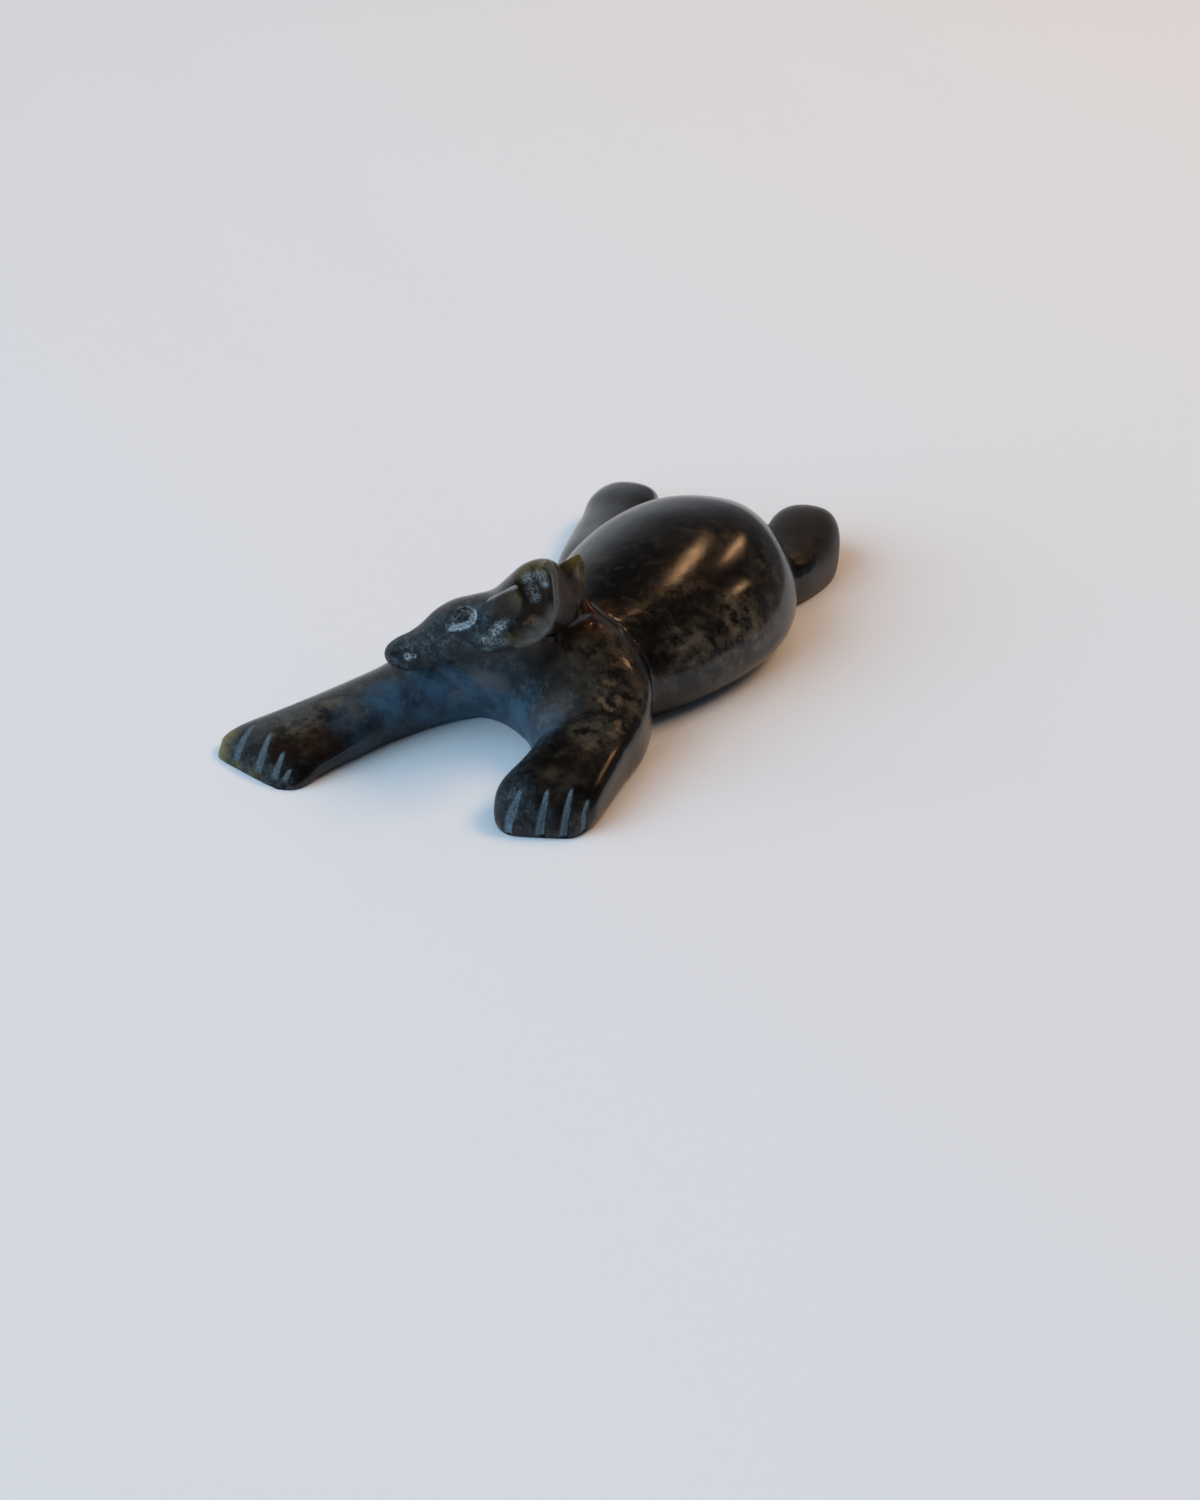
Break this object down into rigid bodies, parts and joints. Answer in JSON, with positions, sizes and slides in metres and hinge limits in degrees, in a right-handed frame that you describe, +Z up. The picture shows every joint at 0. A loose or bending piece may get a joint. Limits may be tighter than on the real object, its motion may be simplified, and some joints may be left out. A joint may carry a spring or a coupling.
{
  "type": "soapstone bear carving",
  "caption": "Polished dark soapstone carving of a bear stretched out flat on its belly, head turned aside, resting on a flat ground underside.",
  "frame": {"origin": "middle of the whole carving's box in plan, on the flat underside", "axes": "+Z up, the bear lies along Y and faces -Y, its own left side is +X"},
  "size_m": [0.0836, 0.1502, 0.0391],
  "materials": {
    "soapstone": "polished near-black serpentine-like soapstone with olive and tan clouds, duller and scratched on the face"
  },
  "bodies": {
    "root": {"bear_carving": "soapstone"}
  },
  "joints": []
}
